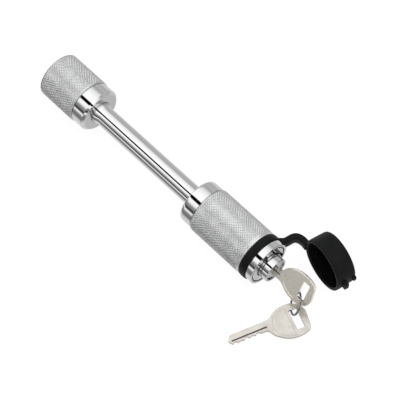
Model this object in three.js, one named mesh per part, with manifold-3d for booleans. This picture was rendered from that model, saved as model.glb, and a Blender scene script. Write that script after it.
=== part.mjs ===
// Hitch pin lock of the dumbbell kind. A 5/8 inch shank with a fixed round head carries a knurled
// lock barrel at its other end. Two steel balls in the barrel drop into the shank's groove when
// the key turns the plug. A rubber dust cap hangs on its strap, and two keys share a wire ring.
// Millimetres, +Z up. The lock lies on its side: the shank runs along X, the lock face looks to +X.
import * as THREE from 'three';
import { mergeVertices } from 'three/addons/utils/BufferGeometryUtils.js';
import Module from 'manifold-3d';

const wasm = await Module();
wasm.setup();

// ---- driving dimensions -------------------------------------------------------------------
const GAP = 0.3;                  // free space between neighbouring pieces
const ROUND = 48;                 // facets round a large turned piece
const SMALL_ROUND = 24;           // facets round a small one

const SHANK_R = 7.94;             // 5/8 inch pin
const SPAN = 106.6;               // usable length between the two bearing faces
const KNURL_R = 19.05;            // 1 1/2 inch grips
const NECK_R = 18.2;
const HEAD_LENGTH = 48.7;
const HEAD_NECK = 12.8;           // plain neck beside the head's bearing face
const SPIGOT_R = 6;               // the shank's end, fixed inside the head
const SPIGOT_LENGTH = 25;
const SHOULDER_R = 9.2;           // flare where the shank meets the head
const SHOULDER_LENGTH = 4.7;
const SEAT_DEPTH = 0.6;           // the flare starts in a shallow seat in the head

const BARREL_NECK = 12.1;
const BARREL_KNURL = 48.9;
const BAND_WIDTH = 6.3;
const BAND_R = 19;                // rubber ring of the dust cap's strap
const NOSE_R = 17.6;              // the shell under the rubber ring
const ENTRY_R = 8.3;              // hole that the shank goes through
const MAIN_BORE_R = 16.2;
const FLANGE_R = 18;
const FLANGE_WIDTH = 5.4;
const HUB_R = 10.2;
const HUB_HEIGHT = 7.4;

const BALL_R = 3;
const BALL_OUT = 11.45;           // ball centre, lock open
const BALL_TRAVEL = 2.4;          // how far a ball moves in
const GROOVE_R = 3.4;
const CAGE_R = 12;

const PLUG_R = 7.9;
const PLUG_BORE_R = 8.2;
const KEY_TILT = THREE.MathUtils.degToRad(23.9);

const KEY_THICKNESS = 2.2;
const BLADE_HALF = 3.7;
const BLADE_LENGTH = 33.4;
const BOW_LENGTH = 27;
const BOW_MIDDLE = 3.6;           // the bow's middle lies to one side of the blade's
const BOW_HALF = 13.3;
const KEY_SHOULDER_X = 197;

const WAFER_COUNT = 5;
const WAFER_PITCH = 3.5;
const WAFER_FIRST_X = 166.5;
const WAFER_THICKNESS = 1.2;
const WAFER_HALF_WIDTH = 3;

const RING_R = 8.7;
const RING_WIRE_R = 0.7;

const CAP_R = 20.6;
const CAP_BORE_R = 18.3;
const CAP_DEPTH = 16;
const CAP_CENTRE = [209.2, 26.1, CAP_R - KNURL_R];   // its rim, resting on the floor
const CAP_ANGLE = THREE.MathUtils.degToRad(79);   // from shut, about Z
const STRAP_HEIGHT = 8;
const STRAP_HALF = 1.25;
const STRAP_BEND = [179.4, 30.6];                 // where the strap bends
const CAP_WALL = 2.4;
const TAB = { from: 3.8, to: 7.4, reach: 3.4, half: 3.4 };   // lug to pull the cap by
const NUB = { from: 13, to: 15.4, reach: 1.3, half: 2.2 };   // moulded stub beside it

// places along the shank, from the head's bearing face
const BARREL_X = SPAN;
const KNURL_X = BARREL_X + BARREL_NECK;
const BAND_X = KNURL_X + BARREL_KNURL + 1.5;
const FLANGE_X = BAND_X + BAND_WIDTH + 2 * GAP;
const FACE_X = FLANGE_X + FLANGE_WIDTH;
const HUB_X = FACE_X + HUB_HEIGHT;
const BALL_X = BARREL_X + 20.4;
const TIP_X = BALL_X + 10;

// ---- finishes -----------------------------------------------------------------------------
const finish = (color, roughness, metalness) =>
  new THREE.MeshStandardMaterial({ color, roughness, metalness });
const chrome = () => finish(0xd8dadc, 0.08, 1);
const knurled = () => finish(0xb4b6b6, 0.45, 0.9);
const steel = () => finish(0x8f9294, 0.35, 0.9);
const brass = () => finish(0xb89a52, 0.3, 0.9);
const rubber = () => finish(0x17181a, 0.6, 0);
const nickel = () => finish(0xb4ada2, 0.3, 0.9);

// ---- shape helpers ------------------------------------------------------------------------

// Bare closed geometry: positions only, shared vertices merged.
function bare(geometry) {
  geometry.deleteAttribute('normal');
  geometry.deleteAttribute('uv');
  return mergeVertices(geometry, 1e-4);
}

// Solid for joining and cutting.
function solid(geometry) {
  const closed = bare(geometry);
  const vertProperties = new Float32Array(closed.attributes.position.array);
  const triVerts = new Uint32Array(closed.index.array);
  return new wasm.Manifold(new wasm.Mesh({ numProp: 3, vertProperties, triVerts }));
}

// Geometry of a joined or cut solid.
function geometryOf(body) {
  const mesh = body.getMesh();
  const geometry = new THREE.BufferGeometry();
  geometry.setAttribute('position', new THREE.BufferAttribute(mesh.vertProperties, 3));
  geometry.setIndex(new THREE.BufferAttribute(mesh.triVerts, 1));
  return geometry;
}

// Turned piece about X. The profile lists [x, radius]; it rises along +X on its outer side.
function turned(profile, facets = ROUND) {
  const points = profile.map(([x, r]) => new THREE.Vector2(r, x));
  const geometry = new THREE.LatheGeometry(points, facets, Math.PI / facets);
  return geometry.rotateZ(-Math.PI / 2);
}

// Turned ring: its profile closes on itself.
const turnedRing = (profile, facets) => turned([...profile, profile[0]], facets);

// Plain ring between two radii.
const plainRing = (x0, x1, inner, outer, facets) =>
  turnedRing([[x0, inner], [x0, outer], [x1, outer], [x1, inner]], facets);

// Box given by its two corners.
function box(low, high) {
  const size = high.map((value, i) => value - low[i]);
  const middle = high.map((value, i) => (value + low[i]) / 2);
  return new THREE.BoxGeometry(...size).translate(...middle);
}

// Flat outline in the XY plane, thick along Z and centred on it.
function plate(shape, thickness, curveSegments = 6) {
  const options = { depth: thickness, bevelEnabled: false, curveSegments };
  return new THREE.ExtrudeGeometry(shape, options).translate(0, 0, -thickness / 2);
}

// Turns a geometry drawn upright in Y-Z about the shank's axis, by the key's tilt.
const tilted = (geometry) => geometry.rotateX(-KEY_TILT);

const pieces = new THREE.Group();

function add(name, geometry, material) {
  const mesh = new THREE.Mesh(bare(geometry), material);
  mesh.name = name;
  pieces.add(mesh);
  return mesh;
}

// ---- shank and head -----------------------------------------------------------------------

// Half-round groove in the shank that the balls drop into.
function groovePoints() {
  const centre = BALL_OUT - BALL_TRAVEL;
  const start = Math.asin((centre - SHANK_R) / GROOVE_R);
  const steps = 8;
  return Array.from({ length: steps + 1 }, (_, i) => {
    const angle = Math.PI + start + (i / steps) * (Math.PI - 2 * start);
    return [BALL_X + GROOVE_R * Math.cos(angle), centre + GROOVE_R * Math.sin(angle)];
  });
}

function pinShank() {
  return turned([
    [-SPIGOT_LENGTH, 0],
    [-SPIGOT_LENGTH, SPIGOT_R],
    [GAP - SEAT_DEPTH, SPIGOT_R],
    [GAP - SEAT_DEPTH, SHOULDER_R],
    [SHOULDER_LENGTH / 2, SHOULDER_R - 0.4],
    [SHOULDER_LENGTH, SHANK_R],
    ...groovePoints(),
    [TIP_X - 3, SHANK_R],
    [TIP_X, SHANK_R - 2.4],
    [TIP_X, 0],
  ], ROUND);
}

function headKnob() {
  return turned([
    [-HEAD_LENGTH, 0],
    [-HEAD_LENGTH, KNURL_R - 0.9],
    [-HEAD_LENGTH + 0.9, KNURL_R],
    [-HEAD_NECK, KNURL_R],
    [-HEAD_NECK, NECK_R],
    [-1.5, NECK_R],
    [0, NECK_R - 1.2],
    [0, SHOULDER_R + GAP],
    [-SEAT_DEPTH, SHOULDER_R + GAP],
    [-SEAT_DEPTH, SPIGOT_R + GAP],
    [-SPIGOT_LENGTH - GAP, SPIGOT_R + GAP],
    [-SPIGOT_LENGTH - GAP, 0],
  ]);
}

// ---- barrel -------------------------------------------------------------------------------

const SEAL_X = BARREL_X + 3.4;
const SEAL_GROOVE_R = 10.6;
const SEAL_GROOVE_WIDTH = 3.5;
const CAGE_X = BARREL_X + 13.9;

function boreSeal() {
  const middle = SEAL_X + SEAL_GROOVE_WIDTH / 2;
  const half = SEAL_GROOVE_WIDTH / 2 - GAP;
  const inner = SHANK_R + 0.26;
  const outer = SEAL_GROOVE_R - GAP;
  return turnedRing([
    [middle - half / 2, inner],
    [middle - half, inner + 0.6],
    [middle - half, outer - 0.6],
    [middle - half / 2, outer],
    [middle + half / 2, outer],
    [middle + half, outer - 0.6],
    [middle + half, inner + 0.6],
    [middle + half / 2, inner],
  ], ROUND);
}

const RETAINING_R = 1.6;
const RETAINING_X = BAND_X + BAND_WIDTH / 2;

// Upright rod beside the band's middle, from one height above the axis to another.
function crossRod(radius, low, high) {
  const rod = new THREE.CylinderGeometry(radius, radius, high - low, 12).rotateX(Math.PI / 2);
  return rod.translate(RETAINING_X, 0, (high + low) / 2);
}

function barrelShell() {
  const shell = turnedRing([
    [BARREL_X, ENTRY_R],
    [BARREL_X, NECK_R - 2],
    [BARREL_X + 0.6, NECK_R - 0.6],
    [BARREL_X + 2, NECK_R],
    [KNURL_X - 0.6, NECK_R],
    [KNURL_X - 0.6, NECK_R - 0.5],
    [KNURL_X, NECK_R - 0.5],
    [KNURL_X, KNURL_R],
    [BAND_X - 1.5, KNURL_R],
    [BAND_X, KNURL_R - 0.8],
    [BAND_X, NOSE_R],
    [FLANGE_X - GAP, NOSE_R],
    [FLANGE_X - GAP, MAIN_BORE_R],
    [CAGE_X - GAP, MAIN_BORE_R],
    [CAGE_X - GAP, ENTRY_R],
    [SEAL_X + SEAL_GROOVE_WIDTH, ENTRY_R],
    [SEAL_X + SEAL_GROOVE_WIDTH, SEAL_GROOVE_R],
    [SEAL_X, SEAL_GROOVE_R],
    [SEAL_X, ENTRY_R],
  ]);
  return geometryOf(solid(shell).subtract(solid(crossRod(RETAINING_R + GAP, 12, 20))));
}

function ballCage() {
  const sleeve = turnedRing([
    [CAGE_X, ENTRY_R],
    [CAGE_X, MAIN_BORE_R - GAP],
    [CAGE_X + 2, MAIN_BORE_R - GAP],
    [CAGE_X + 2, CAGE_R],
    [TIP_X + 0.5, CAGE_R],
    [TIP_X + 0.5, ENTRY_R],
  ]);
  const hole = new THREE.CylinderGeometry(BALL_R + 0.25, BALL_R + 0.25, 40, 24);
  hole.rotateX(Math.PI / 2).translate(BALL_X, 0, 0);
  return geometryOf(solid(sleeve).subtract(solid(hole)));
}

function lockingBall(side) {
  const ball = new THREE.SphereGeometry(BALL_R, 16, 10);
  return ball.translate(BALL_X, 0, side * BALL_OUT);
}

// ---- lock cylinder ------------------------------------------------------------------------

const HOUSING_X = 146.5;
const RECESS_DEPTH = 2.4;
const RIM_R = 16.3;
const HUB_RECESS_R = 8.6;
const HUB_RECESS_DEPTH = 1.4;
const PLATE_IN_R = HUB_R + 0.4;
const PLATE_OUT_R = RIM_R - 0.4;
const PLATE_CUT_DEPTH = 1.4;
const PLATE_TURN = THREE.MathUtils.degToRad(23.6);
const WAFER_DROP = 0.6;
const WAFER_LAST_X = WAFER_FIRST_X + (WAFER_COUNT - 1) * WAFER_PITCH;

// Room beside the plug for the wafers, at the open and at the locked position.
function waferChannel(turn) {
  const width = WAFER_HALF_WIDTH + GAP;
  const channel = box(
    [WAFER_FIRST_X - 2, -width, -PLUG_BORE_R - 1],
    [WAFER_LAST_X + 2, width, -PLUG_BORE_R + 2],
  );
  return solid(tilted(channel.rotateX(turn)));
}

function cylinderHousing() {
  const housing = turnedRing([
    [HOUSING_X, PLUG_BORE_R],
    [HOUSING_X, MAIN_BORE_R - GAP],
    [FLANGE_X, MAIN_BORE_R - GAP],
    [FLANGE_X, FLANGE_R - 0.4],
    [FLANGE_X + 0.4, FLANGE_R],
    [FACE_X - 0.6, FLANGE_R],
    [FACE_X, FLANGE_R - 0.6],
    [FACE_X, RIM_R],
    [FACE_X - RECESS_DEPTH, RIM_R],
    [FACE_X - RECESS_DEPTH, HUB_R],
    [HUB_X - 0.6, HUB_R],
    [HUB_X, HUB_R - 0.6],
    [HUB_X, HUB_RECESS_R],
    [HUB_X - HUB_RECESS_DEPTH, HUB_RECESS_R],
    [HUB_X - HUB_RECESS_DEPTH, PLUG_BORE_R],
  ]);
  const pinHole = solid(crossRod(RETAINING_R + GAP, 10.2, 20));
  const channels = waferChannel(0).add(waferChannel(-Math.PI / 2));
  return geometryOf(solid(housing).subtract(pinHole).subtract(channels));
}

// Steel ring let into the flange round the hub. A chord groove and a spanner slot cross it.
function facePlate() {
  const ring = plainRing(FACE_X - RECESS_DEPTH + GAP, FACE_X - 0.2, PLATE_IN_R, PLATE_OUT_R);
  const floor = FACE_X - 0.2 - PLATE_CUT_DEPTH;
  const chord = box([floor, PLATE_IN_R, -FLANGE_R], [FACE_X, PLATE_IN_R + 1.9, FLANGE_R]);
  const slot = box([floor, 0.2, PLATE_IN_R / 2], [FACE_X, 3.6, FLANGE_R]);
  const cuts = [chord, slot].map((cut) => solid(cut.rotateX(PLATE_TURN)));
  return geometryOf(solid(ring).subtract(cuts[0]).subtract(cuts[1]));
}

const CLIP_X = HOUSING_X - 1.9;
const CLIP_WIDTH = 1.5;
const PLUG_TAIL_R = 6.4;
const CLIP_GROOVE_R = 5.5;
const TAIL_X = 141.8;
const TANG_X = 138.4;
const TANG_HALF = [4.2, 1.6];
const KEYWAY_END_X = 161;
const KEYWAY_HALF = KEY_THICKNESS / 2 + 0.35;
const WAFER_TOP = 5.5;
const WAFER_BOTTOM = -7.1;
const WINDOW_HALF = 1.5;          // the wafer's window, round the key's blade
const WINDOW_TOP = 4.65;
const WINDOW_BOTTOM = -4.1;
const POCKET_HALF = [1.3, 1.5];   // pocket for a wafer's spring
const POCKET_TOP = 7.3;

function keyPlug() {
  const plug = solid(turned([
    [TAIL_X, 0],
    [TAIL_X, PLUG_TAIL_R],
    [CLIP_X, PLUG_TAIL_R],
    [CLIP_X, CLIP_GROOVE_R],
    [CLIP_X + CLIP_WIDTH, CLIP_GROOVE_R],
    [CLIP_X + CLIP_WIDTH, PLUG_TAIL_R],
    [HOUSING_X, PLUG_TAIL_R],
    [HOUSING_X, PLUG_R],
    [HUB_X - HUB_RECESS_DEPTH, PLUG_R],
    [HUB_X - HUB_RECESS_DEPTH + 0.4, PLUG_R - 0.4],
    [HUB_X - HUB_RECESS_DEPTH + 0.4, 0],
  ]));
  const tang = solid(box(
    [TANG_X, -TANG_HALF[1], -TANG_HALF[0]],
    [TAIL_X + 1, TANG_HALF[1], TANG_HALF[0]],
  ));
  const keyway = box(
    [KEYWAY_END_X, -KEYWAY_HALF, -BLADE_HALF - 0.4],
    [HUB_X + 1, KEYWAY_HALF, BLADE_HALF + 0.4],
  );
  const half = WAFER_THICKNESS / 2 + GAP;
  const width = WAFER_HALF_WIDTH + GAP;
  let cuts = solid(tilted(keyway));
  for (let i = 0; i < WAFER_COUNT; i++) {
    const x = WAFER_FIRST_X + i * WAFER_PITCH;
    const slot = box([x - half, -width, -PLUG_R - 1], [x + half, width, WAFER_TOP + GAP]);
    const pocket = box(
      [x - POCKET_HALF[0], -POCKET_HALF[1], WAFER_TOP - 0.5],
      [x + POCKET_HALF[0], POCKET_HALF[1], POCKET_TOP],
    );
    cuts = cuts.add(solid(tilted(slot))).add(solid(tilted(pocket)));
  }
  return geometryOf(plug.add(tang).subtract(cuts));
}

function wafer(index) {
  const x = WAFER_FIRST_X + index * WAFER_PITCH;
  const outline = new THREE.Shape([
    new THREE.Vector2(-WAFER_HALF_WIDTH, WAFER_BOTTOM),
    new THREE.Vector2(WAFER_HALF_WIDTH, WAFER_BOTTOM),
    new THREE.Vector2(WAFER_HALF_WIDTH, WAFER_TOP),
    new THREE.Vector2(-WAFER_HALF_WIDTH, WAFER_TOP),
  ]);
  outline.holes.push(new THREE.Path([
    new THREE.Vector2(-WINDOW_HALF, WINDOW_BOTTOM),
    new THREE.Vector2(-WINDOW_HALF, WINDOW_TOP),
    new THREE.Vector2(WINDOW_HALF, WINDOW_TOP),
    new THREE.Vector2(WINDOW_HALF, WINDOW_BOTTOM),
  ]));
  const flat = plate(outline, WAFER_THICKNESS);
  return tilted(flat.rotateX(Math.PI / 2).rotateZ(Math.PI / 2).translate(x, 0, 0));
}

// Small coil spring above a wafer.
function waferSpring(index) {
  const x = WAFER_FIRST_X + index * WAFER_PITCH;
  const low = WAFER_TOP + 0.4;
  const high = POCKET_TOP - 0.35;
  const [radius, wire, sides] = [0.75, 0.17, 5];
  const [turns, perTurn] = [2, 9];
  const route = Array.from({ length: turns * perTurn + 1 }, (_, i) => {
    const angle = (i / perTurn) * 2 * Math.PI;
    const height = low + ((high - low) * i) / (turns * perTurn);
    return new THREE.Vector3(x + radius * Math.cos(angle), radius * Math.sin(angle), height);
  });
  const section = new THREE.Shape(Array.from({ length: sides }, (_, i) => {
    const angle = (i / sides) * 2 * Math.PI;
    return new THREE.Vector2(wire * Math.cos(angle), wire * Math.sin(angle));
  }));
  const path = new THREE.CatmullRomCurve3(route);
  const options = { steps: turns * 10, extrudePath: path, bevelEnabled: false };
  return tilted(new THREE.ExtrudeGeometry(section, options));
}

// Open clip that holds the plug in its housing.
function tailClip() {
  const [thickness, outer, mouthHalf] = [1, 9.4, 3.6];
  const x = CLIP_X + (CLIP_WIDTH - thickness) / 2;
  const ring = plainRing(x, x + thickness, CLIP_GROOVE_R + GAP, outer, SMALL_ROUND);
  const mouth = box([x - 1, -mouthHalf, 2], [x + thickness + 1, mouthHalf, outer + 1]);
  return geometryOf(solid(ring).subtract(solid(mouth)));
}

// ---- drive cam: a cup whose inner wall closes in on the balls as it turns --------------------

const CAM_R = 15.7;
const CAM_OPEN_R = BALL_OUT + BALL_R + GAP;
const CAM_X = CAGE_X + 2 + GAP;
const CAM_RING_END = BALL_X + 4.6;
const CAM_WEB_X = TIP_X + 1.2;
const CUP_BORE_R = 13.4;
const SHUT_AT = 90;               // degrees from a ball's open place, where it is fully in
const SHUT_UNTIL = 110;
const OPEN_AGAIN = 150;
const CAM_STEP = 5;

// Inner radius of the cam at an angle, in degrees, from a ball's open place.
function camRadius(degrees) {
  const shut = CAM_OPEN_R - BALL_TRAVEL;
  if (degrees < SHUT_AT) return CAM_OPEN_R - (BALL_TRAVEL * degrees) / SHUT_AT;
  if (degrees < SHUT_UNTIL) return shut;
  if (degrees > OPEN_AGAIN) return CAM_OPEN_R;
  return shut + (BALL_TRAVEL * (degrees - SHUT_UNTIL)) / (OPEN_AGAIN - SHUT_UNTIL);
}

function driveCam() {
  const ring = new THREE.Shape();
  ring.absarc(0, 0, CAM_R, 0, 2 * Math.PI, false);
  const inner = Array.from({ length: 360 / CAM_STEP }, (_, i) => {
    const radius = camRadius((i * CAM_STEP) % 180);
    const angle = THREE.MathUtils.degToRad(i * CAM_STEP);
    return new THREE.Vector2(-radius * Math.sin(angle), radius * Math.cos(angle));
  });
  ring.holes.push(new THREE.Path(inner));
  const flat = plate(ring, CAM_RING_END - CAM_X, 24);
  // the outline's X and Y become the lock's Y and Z
  flat.rotateX(Math.PI / 2).rotateZ(Math.PI / 2).translate((CAM_X + CAM_RING_END) / 2, 0, 0);
  const cup = turned([
    [CAM_WEB_X, 0],
    [CAM_WEB_X, CUP_BORE_R],
    [CAM_RING_END - 0.5, CUP_BORE_R],
    [CAM_RING_END - 0.5, CAM_R],
    [CAM_WEB_X + 3, CAM_R],
    [CAM_WEB_X + 3, 0],
  ]);
  const slot = box(
    [CAM_WEB_X - 1, -TANG_HALF[1] - GAP, -TANG_HALF[0] - GAP],
    [CAM_WEB_X + 4, TANG_HALF[1] + GAP, TANG_HALF[0] + GAP],
  );
  return geometryOf(solid(flat).add(solid(cup)).subtract(solid(slot)));
}

// ---- keys ---------------------------------------------------------------------------------

const BITTING = [1.2, 0.5, 1.5, 0.8, 1.3];   // depths of the cuts, from the tip
const GROOVE_DEPTH = 0.6;
const SLOT_P = [15.4, 21.5];
const SLOT_Q = [-4.2, 12];

// Key outline in its own plane: X along the blade to the bow, Y across, shoulder at X = 0.
function keyOutline() {
  const low = BOW_MIDDLE - BOW_HALF;
  const high = BOW_MIDDLE + BOW_HALF;
  const shape = new THREE.Shape();
  shape.moveTo(-BLADE_LENGTH, 0.4);
  shape.lineTo(-BLADE_LENGTH + 2.8, -BLADE_HALF);
  shape.lineTo(-3, -BLADE_HALF);
  shape.quadraticCurveTo(0, -BLADE_HALF, 2, -5.4);
  shape.quadraticCurveTo(7, low, 14.5, low);
  shape.quadraticCurveTo(18.4, low, 19.8, low + 0.8);
  shape.quadraticCurveTo(BOW_LENGTH, low + 4.1, BOW_LENGTH, 1.2);
  shape.lineTo(BOW_LENGTH - 1.2, 11.4);
  shape.quadraticCurveTo(BOW_LENGTH - 1.8, 15.4, 20.6, high - 0.8);
  shape.quadraticCurveTo(18.4, high, 15, high);
  shape.quadraticCurveTo(7, high, 1.6, 11.6);
  shape.quadraticCurveTo(-1.4, 9.4, -2.6, 6.4);
  shape.quadraticCurveTo(-3.6, BLADE_HALF, -6.4, BLADE_HALF);
  BITTING.toReversed().forEach((depth, i) => {
    const x = -9.5 - i * 4.4;
    shape.lineTo(x, BLADE_HALF);
    shape.lineTo(x - 1.2, BLADE_HALF - depth);
    shape.lineTo(x - 2.6, BLADE_HALF - depth);
    shape.lineTo(x - 3.8, BLADE_HALF - 0.15);
  });
  shape.lineTo(-BLADE_LENGTH + 1.6, 2.6);
  return shape;
}

function key() {
  const shape = keyOutline();
  const slot = new THREE.Path();
  slot.moveTo(SLOT_P[0], SLOT_Q[0]);
  slot.lineTo(SLOT_P[0], SLOT_Q[1]);
  slot.lineTo(SLOT_P[1], SLOT_Q[1]);
  slot.lineTo(SLOT_P[1], SLOT_Q[0]);
  shape.holes.push(slot);
  const blank = solid(plate(shape, KEY_THICKNESS, 4));
  const face = KEY_THICKNESS / 2;
  const start = -BLADE_LENGTH - 1;
  const end = -3.5;
  const upper = box([start, 0.5, face - GROOVE_DEPTH], [end, 1.8, face + 1]);
  const lower = box([start, 0.6, -face - 1], [end, 1.9, -face + GROOVE_DEPTH]);
  return geometryOf(blank.subtract(solid(upper)).subtract(solid(lower)));
}

// The key in the plug: its plane holds the shank's axis.
function workingKey() {
  return tilted(key().rotateX(Math.PI / 2).translate(KEY_SHOULDER_X, 0, 0));
}

const SPARE_PLACE = [211.4, -26.2];
const SPARE_ANGLE = THREE.MathUtils.degToRad(69.5);
const SPARE_LIFT = THREE.MathUtils.degToRad(2.4);   // the bow lies on the ring
const FLOOR_Z = -KNURL_R * Math.cos(Math.PI / ROUND);

// The spare key lies on the floor, turned over, its blade's tip touching the floor.
function spareKey() {
  const flat = key().rotateX(Math.PI).translate(BLADE_LENGTH, 0, KEY_THICKNESS / 2);
  flat.rotateY(-SPARE_LIFT).translate(-BLADE_LENGTH, 0, FLOOR_Z);
  return flat.rotateZ(SPARE_ANGLE).translate(SPARE_PLACE[0], SPARE_PLACE[1], 0);
}

// Wire ring through both slots. Its plane holds the line between the slots' ends.
function keyRing() {
  const upper = new THREE.Vector3(215, -0.9, -2);
  const lower = new THREE.Vector3(215.9, -9.4, -16.4);
  const along = lower.clone().sub(upper);
  const reach = along.length() / 2;
  along.normalize();
  const aside = new THREE.Vector3(-0.8, 0.5, -0.5).normalize();
  aside.addScaledVector(along, -aside.dot(along)).normalize();
  const normal = along.clone().cross(aside);
  const middle = upper.clone().add(lower).multiplyScalar(0.5);
  middle.addScaledVector(aside, Math.sqrt(RING_R ** 2 - reach ** 2));
  const ring = new THREE.TorusGeometry(RING_R, RING_WIRE_R, 8, 32);
  const place = new THREE.Matrix4().makeBasis(along, aside, normal).setPosition(middle);
  return ring.applyMatrix4(place);
}

// ---- dust cap, strap and band -------------------------------------------------------------

// Strap seen from above: a strip of even thickness along a curve through the given points.
function strip(points, steps) {
  const curve = new THREE.CatmullRomCurve3(points.map(([x, y]) => new THREE.Vector3(x, y, 0)));
  const left = [];
  const right = [];
  for (let i = 0; i <= steps; i++) {
    const at = curve.getPoint(i / steps);
    const along = curve.getTangent(i / steps);
    left.push(new THREE.Vector2(at.x - STRAP_HALF * along.y, at.y + STRAP_HALF * along.x));
    right.unshift(new THREE.Vector2(at.x + STRAP_HALF * along.y, at.y - STRAP_HALF * along.x));
  }
  return plate(new THREE.Shape([...right, ...left]), STRAP_HEIGHT);
}

function capBand() {
  const band = solid(plainRing(BAND_X + GAP, BAND_X + GAP + BAND_WIDTH, NOSE_R + GAP, BAND_R));
  const root = solid(strip([[173.6, 18.4], [175.2, 21.6], [177, 25.6], [178.3, 28.6]], 6));
  return geometryOf(band.add(root));
}

function dustCap() {
  const cup = turned([
    [0, CAP_BORE_R],
    [0, CAP_R - 0.3],
    [0.4, CAP_R],
    [CAP_DEPTH - 1.5, CAP_R],
    [CAP_DEPTH - 0.4, CAP_R - 0.5],
    [CAP_DEPTH, CAP_R - 1.6],
    [CAP_DEPTH, 0],
    [CAP_DEPTH - CAP_WALL, 0],
    [CAP_DEPTH - CAP_WALL, CAP_BORE_R],
    [0, CAP_BORE_R],
  ]);
  cup.rotateZ(CAP_ANGLE).translate(...CAP_CENTRE);
  const lugs = [TAB, NUB].map(({ from, to, reach, half }) =>
    box([from, -CAP_R - reach, -half], [to, -CAP_R + 1, half]));
  const link = strip([STRAP_BEND, [181.6, 32], [185.6, 32.6], [191, 31.4]], 6);
  const knuckle = new THREE.CylinderGeometry(STRAP_HALF, STRAP_HALF, STRAP_HEIGHT, 12);
  knuckle.rotateX(Math.PI / 2).translate(...STRAP_BEND, 0);
  lugs.forEach((lug) => lug.rotateZ(CAP_ANGLE).translate(...CAP_CENTRE));
  let cap = solid(cup);
  [...lugs, link, knuckle].forEach((piece) => {
    cap = cap.add(solid(piece));
  });
  return geometryOf(cap);
}

// ---- assembly -----------------------------------------------------------------------------

add('pin_shank', pinShank(), chrome());
add('head_knob', headKnob(), knurled());
add('bore_seal', boreSeal(), rubber());
add('barrel_shell', barrelShell(), knurled());
add('ball_cage', ballCage(), steel());
add('locking_ball_upper', lockingBall(1), steel());
add('locking_ball_lower', lockingBall(-1), steel());
add('cylinder_housing', cylinderHousing(), chrome());
add('face_plate', facePlate(), chrome());
add('retaining_pin', crossRod(RETAINING_R, 10.5, NOSE_R - 0.2), steel());
add('key_plug', keyPlug(), brass());
add('tail_clip', tailClip(), steel());
add('drive_cam', driveCam(), steel());
for (let i = 0; i < WAFER_COUNT; i++) {
  add(`wafer_${i + 1}`, wafer(i), brass());
  add(`wafer_spring_${i + 1}`, waferSpring(i), steel());
}
add('working_key', workingKey(), nickel());
add('spare_key', spareKey(), nickel());
add('key_ring', keyRing(), steel());
add('cap_band', capBand(), rubber());
add('dust_cap', dustCap(), rubber());

// Origin: the middle of the footprint, on the surface that the lock lies on.
const extent = new THREE.Box3().setFromObject(pieces);
const centre = extent.getCenter(new THREE.Vector3());
pieces.position.set(-centre.x, -centre.y, -extent.min.z);
const model = new THREE.Group();
model.add(pieces);

export default model;
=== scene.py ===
# %% [markdown]
# # A hitch pin lock, piece by piece
# The real thing is a 5/8 inch steel pin with a fixed knurled head at one end and a knurled lock
# barrel at the other. Nearly every part was turned on a lathe, so most pieces here are profiles
# swung round the pin's axis, worked out as whole numpy arrays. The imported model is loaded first.
# It says where everything is, and each finer piece made below stands in for one of its nodes.

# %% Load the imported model
import math

import bmesh
import bpy
import numpy as np
from mathutils import Matrix, Vector
from mathutils.geometry import tessellate_polygon


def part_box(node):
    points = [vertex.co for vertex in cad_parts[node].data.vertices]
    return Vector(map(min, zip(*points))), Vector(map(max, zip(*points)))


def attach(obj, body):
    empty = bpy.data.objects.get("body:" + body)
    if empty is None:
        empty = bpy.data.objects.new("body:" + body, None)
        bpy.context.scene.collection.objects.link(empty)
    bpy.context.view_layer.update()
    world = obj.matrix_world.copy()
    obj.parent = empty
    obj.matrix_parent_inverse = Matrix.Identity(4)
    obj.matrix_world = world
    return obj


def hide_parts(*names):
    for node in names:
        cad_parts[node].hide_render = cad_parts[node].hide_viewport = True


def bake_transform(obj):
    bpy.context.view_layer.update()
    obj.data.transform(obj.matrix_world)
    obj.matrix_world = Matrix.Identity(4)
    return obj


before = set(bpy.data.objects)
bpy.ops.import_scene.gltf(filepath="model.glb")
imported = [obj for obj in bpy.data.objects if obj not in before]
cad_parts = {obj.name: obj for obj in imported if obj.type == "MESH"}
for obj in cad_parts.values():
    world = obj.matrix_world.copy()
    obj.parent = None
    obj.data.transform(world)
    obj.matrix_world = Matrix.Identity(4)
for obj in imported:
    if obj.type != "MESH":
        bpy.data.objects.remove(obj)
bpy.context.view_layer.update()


MM = 0.001

shank_low, shank_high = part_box("pin_shank")
head_low, head_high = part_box("head_knob")
# Lengths below are millimetres from the head's bearing face (x) and from the pin's axis (y, z).
ORIGIN = Vector((
    head_high.x,
    (shank_low.y + shank_high.y) / 2,
    (shank_low.z + shank_high.z) / 2,
))
print("pin axis at y, z in mm:", round(ORIGIN.y / MM, 2), round(ORIGIN.z / MM, 2))

# %% [markdown]
# ## Camera
# The lock lies on a table and is seen from above, over its key end. A long lens from more than a
# metre away keeps its edges nearly parallel, as in a catalogue picture.

# %% Camera
VIEW_AZIMUTH = math.radians(46.467)
VIEW_ELEVATION = math.radians(59.312)
VIEW_DISTANCE = 1.1787
VIEW_TARGET = ORIGIN + Vector((0.10848, 0.001416, 0))

toward_camera = Vector((
    math.sin(VIEW_AZIMUTH) * math.cos(VIEW_ELEVATION),
    -math.cos(VIEW_AZIMUTH) * math.cos(VIEW_ELEVATION),
    math.sin(VIEW_ELEVATION),
))
camera = bpy.data.objects.new("camera", bpy.data.cameras.new("camera"))
camera.data.lens = 144
camera.data.clip_start = 0.01
camera.location = VIEW_TARGET + VIEW_DISTANCE * toward_camera
camera.rotation_euler = toward_camera.to_track_quat("Z", "Y").to_euler()
bpy.context.scene.collection.objects.link(camera)
bpy.context.scene.camera = camera
bpy.context.scene.view_settings.view_transform = "Standard"
print("camera at", tuple(round(value, 3) for value in camera.location))

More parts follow.
